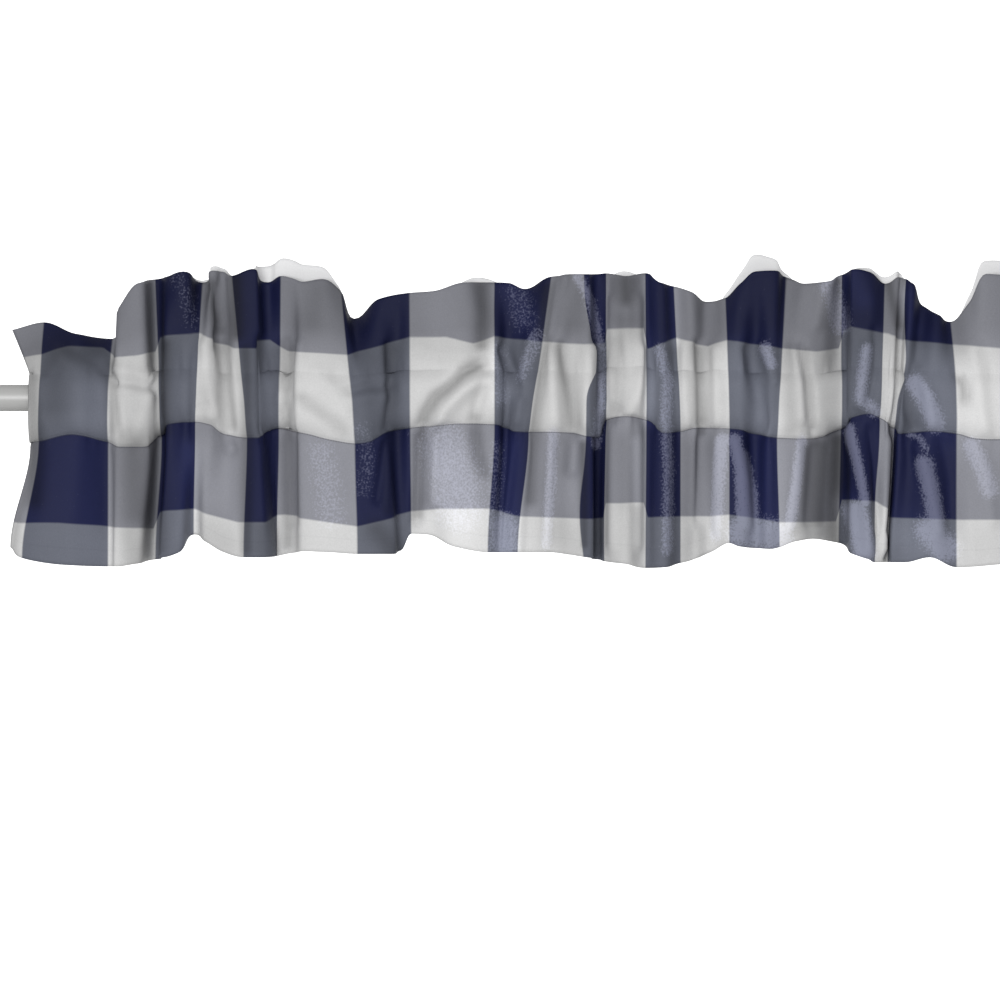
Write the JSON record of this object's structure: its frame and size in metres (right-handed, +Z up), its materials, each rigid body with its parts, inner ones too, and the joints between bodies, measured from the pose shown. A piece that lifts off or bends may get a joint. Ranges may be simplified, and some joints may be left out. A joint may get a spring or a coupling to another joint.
{
  "type": "window valance on a curtain pole",
  "caption": "Short gathered window valance in a navy, grey and white buffalo check, with a standing ruffled heading, on a plain white round pole",
  "frame": {"origin": "middle of the pole's left end face, which the bracket there holds", "axes": "+X along the pole to the right, -Y out of the wall into the room, +Z up"},
  "size_m": [1.4, 0.0778, 0.3766],
  "materials": {
    "checked_cloth": "smooth plain weave with a slight satin sheen, navy, slate, grey and white checks",
    "white_cloth": "plain white, matt",
    "white_paint": "smooth white paint, satin"
  },
  "bodies": {
    "root": {"face_panel": "checked_cloth", "heading_facing": "white_cloth", "pole": "white_paint"}
  },
  "joints": []
}
